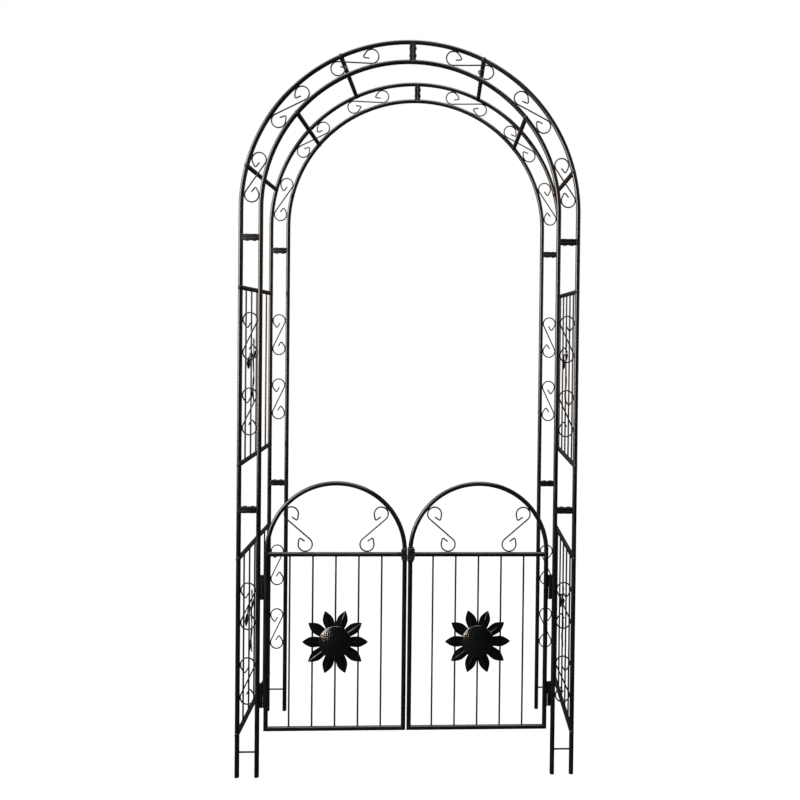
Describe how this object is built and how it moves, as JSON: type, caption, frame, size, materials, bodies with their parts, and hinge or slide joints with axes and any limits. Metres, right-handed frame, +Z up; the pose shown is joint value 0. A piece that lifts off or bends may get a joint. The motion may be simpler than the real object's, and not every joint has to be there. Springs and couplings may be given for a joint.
{
  "type": "garden arch with gate",
  "caption": "Tubular steel garden arch with scrollwork ladders, rose side panels and a double gate: arched leaves, sunflower ornaments and a slide-bolt latch.",
  "frame": {"origin": "middle of the outline of the whole arch, on the ground under the feet", "axes": "+Z up, +X to the right across the opening, -Y towards the front, where the gate is"},
  "size_m": [1.0484, 0.4266, 2.2614],
  "materials": {
    "frame_paint": "satin black powder coat",
    "ornament_paint": "satin black powder coat",
    "fitting_paint": "semi-gloss black powder coat"
  },
  "bodies": {
    "arch": {"arch_scrolls_front_left": "ornament_paint", "arch_scrolls_front_right": "ornament_paint", "arch_scrolls_rear_left": "ornament_paint", "arch_scrolls_rear_right": "ornament_paint", "arch_section_front_left": "frame_paint", "arch_section_front_right": "frame_paint", "arch_section_rear_left": "frame_paint", "arch_section_rear_right": "frame_paint", "cross_bar_crown_left": "frame_paint", "cross_bar_crown_right": "frame_paint", "cross_bar_shoulder_left": "frame_paint", "cross_bar_shoulder_right": "frame_paint", "cross_bar_spring_left": "frame_paint", "cross_bar_spring_right": "frame_paint", "hinge_post_halves_left": "fitting_paint", "hinge_post_halves_right": "fitting_paint", "lower_leg_front_left": "frame_paint", "lower_leg_front_right": "frame_paint", "lower_leg_rear_left": "frame_paint", "lower_leg_rear_right": "frame_paint", "lower_leg_scrolls_front_left": "ornament_paint", "lower_leg_scrolls_front_right": "ornament_paint", "lower_leg_scrolls_rear_left": "ornament_paint", "lower_leg_scrolls_rear_right": "ornament_paint", "panel_bars_lower_left": "frame_paint", "panel_bars_lower_right": "frame_paint", "panel_bars_upper_left": "frame_paint", "panel_bars_upper_right": "frame_paint", "panel_rods_lower_left": "frame_paint", "panel_rods_lower_right": "frame_paint", "panel_rods_upper_left": "frame_paint", "panel_rods_upper_right": "frame_paint", "panel_rose_lower_left": "ornament_paint", "panel_rose_lower_right": "ornament_paint", "panel_rose_upper_left": "ornament_paint", "panel_rose_upper_right": "ornament_paint", "upper_leg_front_left": "frame_paint", "upper_leg_front_right": "frame_paint", "upper_leg_rear_left": "frame_paint", "upper_leg_rear_right": "frame_paint", "upper_leg_scrolls_front_left": "ornament_paint", "upper_leg_scrolls_front_right": "ornament_paint", "upper_leg_scrolls_rear_left": "ornament_paint", "upper_leg_scrolls_rear_right": "ornament_paint"},
    "left_leaf": {"flower_disc_left": "ornament_paint", "flower_petals_left": "ornament_paint", "hinge_leaf_halves_left": "fitting_paint", "latch_case": "fitting_paint", "leaf_frame_left": "frame_paint", "leaf_rods_left": "frame_paint", "leaf_scrolls_left": "ornament_paint"},
    "right_leaf": {"flower_disc_right": "ornament_paint", "flower_petals_right": "ornament_paint", "hinge_leaf_halves_right": "fitting_paint", "latch_keeper": "fitting_paint", "leaf_frame_right": "frame_paint", "leaf_rods_right": "frame_paint", "leaf_scrolls_right": "ornament_paint"},
    "latch_bolt": {"latch_bolt": "fitting_paint"}
  },
  "joints": [
    {"name": "left_leaf_hinge", "type": "hinge", "parent": "arch", "child": "left_leaf", "pos_m": [-0.44265, -0.19307, 0.4175], "axis": [0, 0, 1], "range_deg": [-90, 85]},
    {"name": "right_leaf_hinge", "type": "hinge", "parent": "arch", "child": "right_leaf", "pos_m": [0.44265, -0.19307, 0.4175], "axis": [0, 0, -1], "range_deg": [-90, 85]},
    {"name": "latch_bolt_slide", "type": "slide", "parent": "left_leaf", "child": "latch_bolt", "axis": [1, 0, 0], "range_m": [0, 0.01]}
  ]
}
